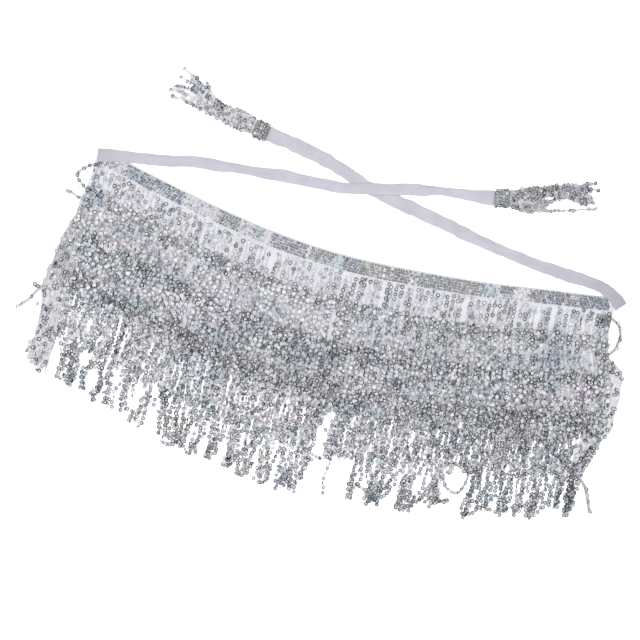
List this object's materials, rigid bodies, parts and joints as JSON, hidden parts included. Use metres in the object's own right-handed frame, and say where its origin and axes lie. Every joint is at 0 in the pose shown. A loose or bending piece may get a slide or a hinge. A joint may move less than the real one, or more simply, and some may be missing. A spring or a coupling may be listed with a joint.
{
  "type": "belly dance hip belt",
  "caption": "Hip belt laid flat: a curved sequinned waistband and cloth skirt panel under tiers of strung-sequin fringe, with two crossed cloth ties ending in cuffs and tassels.",
  "frame": {"origin": "on the underside of the belt, in the plane it lies on, in the middle of the waistband", "axes": "+X along the belt to its right end, +Y up towards the waist and the ties, +Z out of the front, away from the surface the belt lies on"},
  "size_m": [0.8608, 0.5666, 0.0072],
  "materials": {
    "ground_cloth": "matt white cloth with a lilac cast",
    "waistband_sequins": "close rows of small silver sequins on cloth",
    "fringe_sequins": "strung silver sequins, iridescent",
    "tie_cloth": "pale lilac-white crumpled cloth, satin",
    "tassel_sequins": "strung silver sequins, iridescent"
  },
  "bodies": {
    "root": {"skirt_panel": "ground_cloth", "waistband": "waistband_sequins", "fringe_tier_1": "fringe_sequins", "fringe_tier_2": "fringe_sequins", "fringe_tier_3": "fringe_sequins", "fringe_tier_4": "fringe_sequins", "tie_from_left": "tie_cloth", "tie_from_right": "tie_cloth", "tassel_from_left": "tassel_sequins", "tassel_from_right": "tassel_sequins"}
  },
  "joints": []
}
